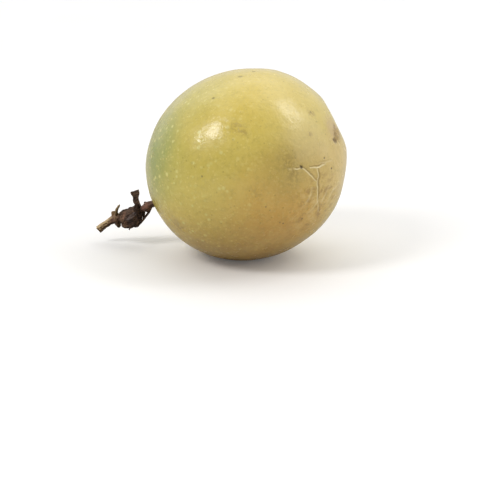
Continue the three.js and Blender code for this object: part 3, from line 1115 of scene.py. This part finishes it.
def tinted(painted_light=None, painted_shade=None, spots=()):
    """Dry tissue with painted light above, painted shade below, and tinted spots (place, reach,
    colour, strength).
    """

    def add(w, place, colour):
        facing = w.add("ShaderNodeNewGeometry").outputs["Normal"]
        height = w.add("ShaderNodeSeparateXYZ", {0: facing}).outputs["Z"]
        given = {"Place": place, "Facing Up": height}
        shading_masks = w.add("ShaderNodeGroup", given, node_tree=PAINTED_SHADING).outputs
        # painted light on the upper side
        if painted_light:
            colour = tint(w, colour, shading_masks["Painted Light"], painted_light[1], painted_light[0])
        for where, reach, tone, strength in spots:
            mask = patch_at(w, place, stalk_place(*where), reach, 0.5, 0.5, 1.2)
            colour = tint(w, colour, mask, strength, tone)
        # painted shade on the underside
        if painted_shade:
            colour = tint(w, colour, shading_masks["Dark"], painted_shade[1], painted_shade[0])
        return colour

    return add


def dark_foot():
    knob_spot = ((5.8, 0.5, -1.2), 1.7, (150, 108, 92), 0.6)
    # the foot is darkened below: painted shade
    painted_shading_and_spots = tinted(painted_shade=((44, 30, 26), 0.6), spots=[knob_spot])
    return dry_tissue("dark_foot", (68, 48, 38), (142, 110, 90), 0.7, 0.8, extra=painted_shading_and_spots)


def tan_bark():
    joint_spots = [
        ((18.2, 0.0, -1.2), 2.7, (112, 80, 68), 0.85),
        ((18.4, -1.4, -1.2), 1.8, (64, 44, 36), 0.7),
    ]
    # lighter on top and dark below: painted light and painted shade
    painted_shading_and_spots = tinted(((210, 184, 142), 0.95), ((54, 36, 24), 0.85), joint_spots)
    return dry_tissue("tan_bark", (84, 60, 40), (150, 122, 82), 0.6, 0.85, extra=painted_shading_and_spots)


def bract_skin():
    spots = [
        ((19.0, 2.6, -0.6), 1.4, (136, 104, 74), 0.6),
        ((15.6, 3.6, -1.0), 2.0, (140, 118, 80), 0.7),
        ((18.2, -0.6, -2.6), 1.7, (104, 74, 62), 0.75),
    ]
    # lighter on top and dark below: painted light and painted shade
    painted_shading_and_spots = tinted(((148, 126, 86), 0.6), ((52, 36, 28), 0.5), spots)
    return dry_tissue("bract_skin", (66, 48, 36), (128, 106, 72), 0.6, 0.85, extra=painted_shading_and_spots)


def withered_lobe():
    # tan for the lobes' edges, and a pale grey for a line of spots nearer the fruit
    edge, pale_grey = (164, 122, 98), (108, 98, 97)
    spots = [
        ((14.0, 1.1, -2.3), 0.9, edge, 0.7),
        ((14.4, -0.2, -3.1), 0.75, edge, 0.7),
        ((14.6, -1.6, -3.2), 0.9, edge, 0.7),
        ((12.7, -0.9, -3.3), 0.75, pale_grey, 0.6),
        ((11.4, -0.5, -2.9), 0.75, pale_grey, 0.6),
        ((10.2, -0.2, -2.4), 0.75, pale_grey, 0.5),
    ]
    # lighter on top and dark below: painted light and painted shade
    painted_shading_and_spots = tinted(((112, 88, 70), 0.3), ((32, 21, 20), 0.45), spots)
    dark, light = (38, 26, 28), (140, 112, 93)
    return dry_tissue("withered_lobe", dark, light, 0.7, 0.8, 0.68, DEEP_TISSUE_BUMP, painted_shading_and_spots)


def withered_cup():
    sliver = (128, 98, 74)
    spots = [
        ((15.5, 1.0, -2.6), 1.0, sliver, 0.7),
        ((15.3, -0.5, -3.0), 1.0, sliver, 0.7),
        ((15.8, -2.2, -2.2), 1.1, sliver, 0.7),
    ]
    # darker below: painted shade
    painted_shading_and_spots = tinted(painted_shade=((30, 20, 18), 0.55), spots=spots)
    dark, light = (36, 24, 27), (130, 102, 84)
    return dry_tissue("withered_cup", dark, light, 0.8, 0.8, 0.62, DEEP_TISSUE_BUMP, painted_shading_and_spots)


def build_object():
    make_fruit(waxy_rind())
    stem = PLACING @ Matrix.Translation((0, 0, -HALF_LENGTH * MM)) @ Matrix.Rotation(math.pi, 4, "Y")
    thread = dry_tissue("dry_thread", (44, 30, 24), (104, 78, 58), 0.5, 0.8)
    for name, (places, faces), material, slot, node in [
        ("foot_and_knob", foot_and_knob(), dark_foot(), "dry_stalk", "stalk"),
        ("stamens", stamens(), thread, "dry_stalk", "stalk"),
        ("cut_stub", stub(), tan_bark(), "dry_stalk", "stalk"),
        ("bract_stubs", bracts(), bract_skin(), "dry_stalk", "stalk"),
        ("flower_cup", cup(), withered_cup(), "dry_flower", "withered_flower"),
        ("flower_lobes", lobes(), withered_lobe(), "dry_flower", "withered_flower"),
        ("flower_fringe", fringe(), thread, "dry_flower", "withered_flower"),
    ]:
        new_piece(name, places, faces, material, node, stem)


# Floor, light and camera


# The floor looks nearly white, and throws up less light than that, as a small table would. Far
# off it glows until it is as white as the room.
FLOOR_RADIUS = 4
FLOOR_TINTS = [(249, 248, 247), (252, 251, 250)]
FLOOR_GRAIN = 40.0
FLOOR_BOUNCE = (206, 200, 190)
FLOOR_GLOW = 0.06
FAR_FLOOR_GLOW = 0.6
GLOW_GROWS = (0.3, 1.4)

# How bright the room is in front, and what the wall behind and the ceiling add
ROOM_FRONT = 0.275
ROOM_BEHIND = 0.34
WALL_IN_REFLECTIONS = 0.5
ROOM_ABOVE = 0.14

# Softboxes: way in the view's right, up and back, distance and size in metres, power, roll
SOFTBOXES = [
    ("key", (-0.615, 0.555, 0.555), 0.9, (0.36, 0.22), 2.8, 1.1),
    ("window", (0.57, 0.77, 0.19), 1.2, (0.29, 0.56), 2.2, -0.8),
    ("right wall", (0.9, 0.3, 0.25), 1.3, (1.3, 1.3), 4.8, 0.0),
    ("ceiling", (-0.1, 1.0, -0.1), 1.3, (1.4, 1.4), 4.0, 0.0),
]


def pale_floor():
    material, w = new_material("pale_floor")
    grain = w.ramp(w.noise(w.place(), FLOOR_GRAIN), 0.3, 0.7)
    seen = w.mix(grain, *[linear(tone) for tone in FLOOR_TINTS])
    seen_directly = w.add("ShaderNodeLightPath").outputs["Is Camera Ray"]
    shader = finish_material(w, w.mix(seen_directly, linear(FLOOR_BOUNCE), seen), 0.9)
    own = w.add("ShaderNodeTexCoord").outputs["Object"]
    away = w.add("ShaderNodeVectorMath", {0: own}, operation="LENGTH").outputs["Value"]
    # the floor glows faintly to the camera near the fruit, painted light that lightens its shadow, and
    # strongly far off
    glow = w.ramp(away, *GLOW_GROWS, FLOOR_GLOW, FAR_FLOOR_GLOW)
    white = w.mix(w.math("MULTIPLY", seen_directly, glow), (0, 0, 0, 1), (1, 1, 1, 1))
    w.tree.links.new(white, shader.inputs["Emission Color"])
    shader.inputs["Emission Strength"].default_value = 1.0
    return material


def make_floor():
    bm = bmesh.new()
    bmesh.ops.create_circle(bm, cap_ends=True, segments=96, radius=FLOOR_RADIUS)
    mesh = bpy.data.meshes.new("floor")
    bm.to_mesh(mesh)
    bm.free()
    mesh.materials.append(pale_floor())
    floor = bpy.data.objects.new("floor", mesh)
    bpy.context.scene.collection.objects.link(floor)


def aim(thing, place, at):
    thing.location = place
    thing.rotation_mode = "QUATERNION"
    thing.rotation_quaternion = (Vector(at) - Vector(place)).to_track_quat("-Z", "Y")


def add_softbox(name, way, distance, size, power, roll, centre):
    light = bpy.data.lights.new(name, "AREA")
    light.shape = "RECTANGLE"
    light.size, light.size_y = size
    light.energy = power
    lamp = bpy.data.objects.new(name, light)
    bpy.context.scene.collection.objects.link(lamp)
    aim(lamp, centre + Vector(way).normalized() * distance, centre)
    lamp.rotation_quaternion @= Matrix.Rotation(roll, 4, "Z").to_quaternion()


def view_axes():
    """Right, up and back of the photograph's view, in the part's frame."""
    e = math.radians(VIEW_ELEVATION)
    up = Vector((0, math.sin(e), math.cos(e)))
    back = Vector((0, -math.cos(e), math.sin(e)))
    return Vector((1, 0, 0)), up, back


def white_room():
    """A room with a bright wall behind the fruit and a darker side in front, white to the eye."""
    world = bpy.data.worlds.new("white_room")
    world.use_nodes = True
    w = Wiring(world.node_tree)
    way = w.add("ShaderNodeSeparateXYZ", {0: w.add("ShaderNodeTexCoord").outputs["Generated"]}).outputs
    rays = w.add("ShaderNodeLightPath").outputs
    wall = w.ramp(rays["Is Glossy Ray"], 0.0, 1.0, ROOM_BEHIND, WALL_IN_REFLECTIONS)
    behind = w.math("MULTIPLY", w.ramp(way["Y"], -0.5, 0.7), wall)
    above = w.ramp(way["Z"], 0.0, 0.9, 0.0, ROOM_ABOVE)
    glow = w.math("ADD", ROOM_FRONT, w.math("ADD", behind, above))
    shares = {0: rays["Is Camera Ray"], 2: glow, 3: 1.0}
    strength = w.add("ShaderNodeMix", shares, data_type="FLOAT").outputs[0]
    background = world.node_tree.nodes["Background"]
    background.inputs["Color"].default_value = (1, 1, 1, 1)
    world.node_tree.links.new(strength, background.inputs["Strength"])
    return world


def make_lights(centre):
    right, up, back = view_axes()
    bpy.context.scene.world = white_room()
    for name, (to_right, to_up, to_back), distance, size, power, roll in SOFTBOXES:
        way = to_right * right + to_up * up + to_back * back
        add_softbox(name, way, distance, size, power, roll, centre)


def make_camera(centre):
    right, up, back = view_axes()
    camera_data = bpy.data.cameras.new("camera")
    camera_data.sensor_width = SENSOR
    camera_data.lens = PIXELS_PER_MM * VIEW_DISTANCE / MM * SENSOR / IMAGE_SIDE
    camera = bpy.data.objects.new("camera", camera_data)
    bpy.context.scene.collection.objects.link(camera)
    to_right = (IMAGE_SIDE / 2 - FRUIT_PIXEL[0]) / PIXELS_PER_MM * MM
    down = (IMAGE_SIDE / 2 - FRUIT_PIXEL[1]) / PIXELS_PER_MM * MM
    aim(camera, centre + back * VIEW_DISTANCE, centre + right * to_right - up * down)
    bpy.context.scene.camera = camera


build_object()
middle = PLACING.translation
make_floor()
make_lights(middle)
make_camera(middle)
bpy.context.scene.view_settings.view_transform = "Standard"
